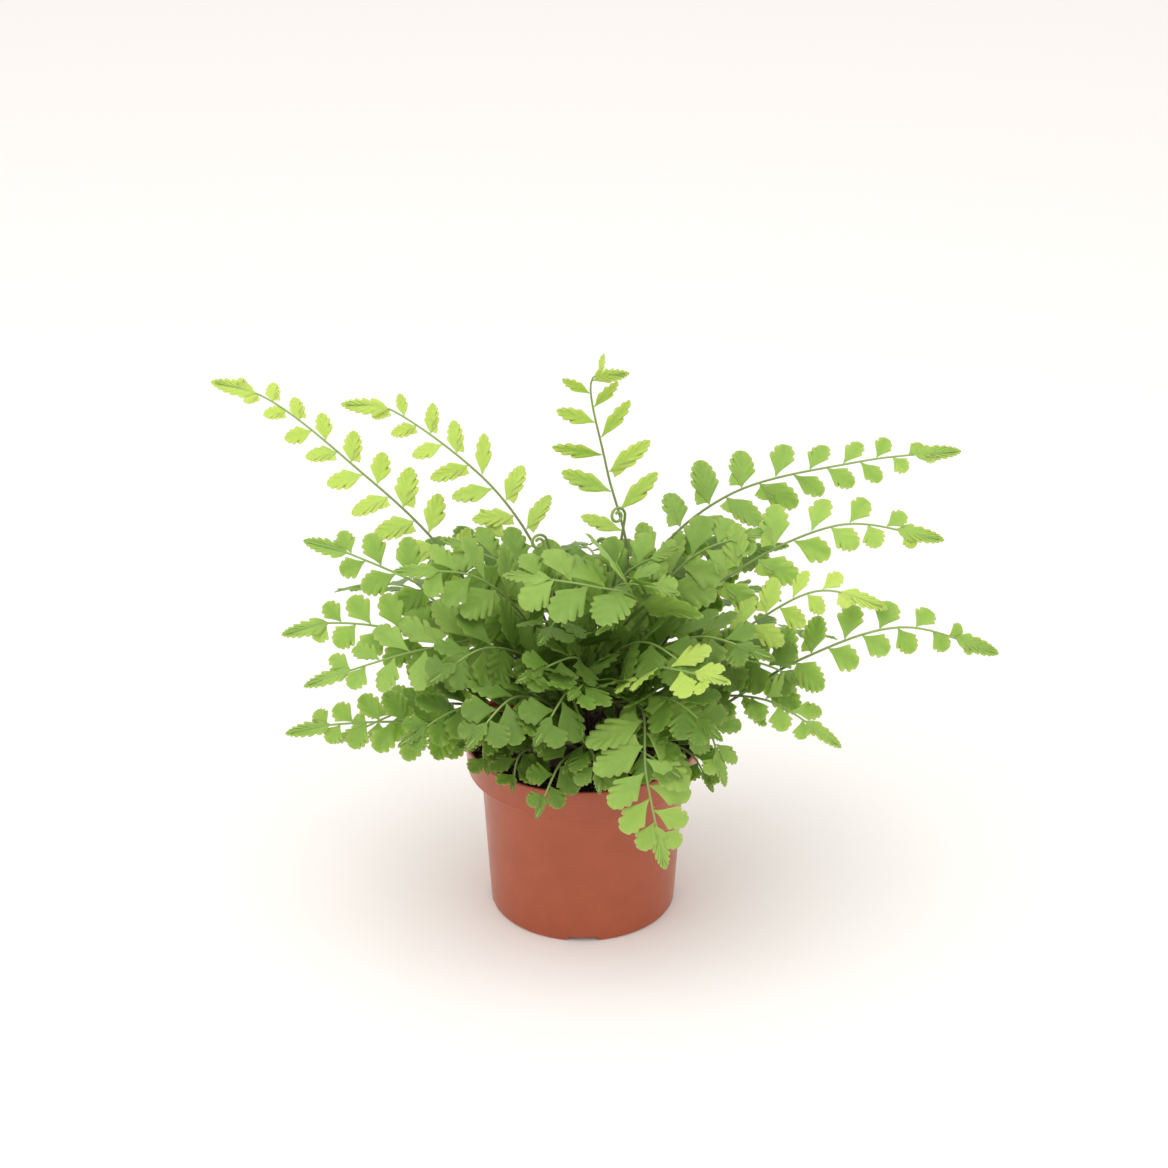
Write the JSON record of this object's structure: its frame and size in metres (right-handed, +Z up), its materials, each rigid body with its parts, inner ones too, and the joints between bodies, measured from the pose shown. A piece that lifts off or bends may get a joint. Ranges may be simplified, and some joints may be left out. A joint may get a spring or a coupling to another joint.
{
  "type": "potted fern",
  "caption": "Small fern with arching, feather-like fronds of scalloped leaflets, growing in a round tapered plastic nursery pot with a collared rim.",
  "frame": {"origin": "centre of the pot's base, on the surface that it stands on", "axes": "+Z up the pot's axis, -Z the way its base faces, -Y the pot's front, +X to the right seen from the front"},
  "size_m": [0.3801, 0.2225, 0.2833],
  "materials": {
    "pot_plastic": "satin terracotta-coloured moulded plastic",
    "soil": "dark crumbly potting soil with fine root fibres",
    "rhizome": "dark brown scales and old stalk bases",
    "leaf": "mid green, slightly glossy leaf",
    "young_leaf": "light yellow-green young leaf, slightly glossy"
  },
  "bodies": {
    "root": {"crozier_left": "young_leaf", "crozier_middle": "young_leaf", "crozier_right": "young_leaf", "frond_back_hanging": "leaf", "frond_back_left": "leaf", "frond_back_left_low": "leaf", "frond_back_middle": "leaf", "frond_back_middle_left": "leaf", "frond_back_middle_right": "leaf", "frond_back_right": "leaf", "frond_back_right_low": "leaf", "frond_centre_left": "leaf", "frond_centre_low": "leaf", "frond_centre_right": "leaf", "frond_centre_top": "leaf", "frond_front_bright": "young_leaf", "frond_front_hanging": "leaf", "frond_front_left_drooping": "leaf", "frond_front_level": "leaf", "frond_front_low": "leaf", "frond_front_right_low": "leaf", "frond_high_far_left": "young_leaf", "frond_high_left": "young_leaf", "frond_high_middle": "young_leaf", "frond_high_right": "leaf", "frond_inner_back": "leaf", "frond_inner_back_left": "leaf", "frond_inner_back_right": "leaf", "frond_inner_front": "leaf", "frond_inner_front_left": "leaf", "frond_inner_front_low": "leaf", "frond_inner_front_right": "leaf", "frond_inner_left": "leaf", "frond_inner_left_low": "leaf", "frond_inner_middle": "leaf", "frond_inner_right": "leaf", "frond_inner_right_low": "leaf", "frond_inner_top": "leaf", "frond_inner_top_left": "leaf", "frond_inner_top_right": "leaf", "frond_left_broad": "leaf", "frond_left_low": "leaf", "frond_left_middle": "leaf", "frond_left_scalloped": "leaf", "frond_left_short": "leaf", "frond_left_upper": "leaf", "frond_right_bright": "young_leaf", "frond_right_hanging": "leaf", "frond_right_long": "leaf", "frond_right_low": "leaf", "frond_right_upper": "leaf", "frond_small_left": "young_leaf", "frond_soil_front_left": "leaf", "frond_soil_left": "leaf", "pot": "pot_plastic", "rhizome": "rhizome", "soil": "soil"}
  },
  "joints": []
}
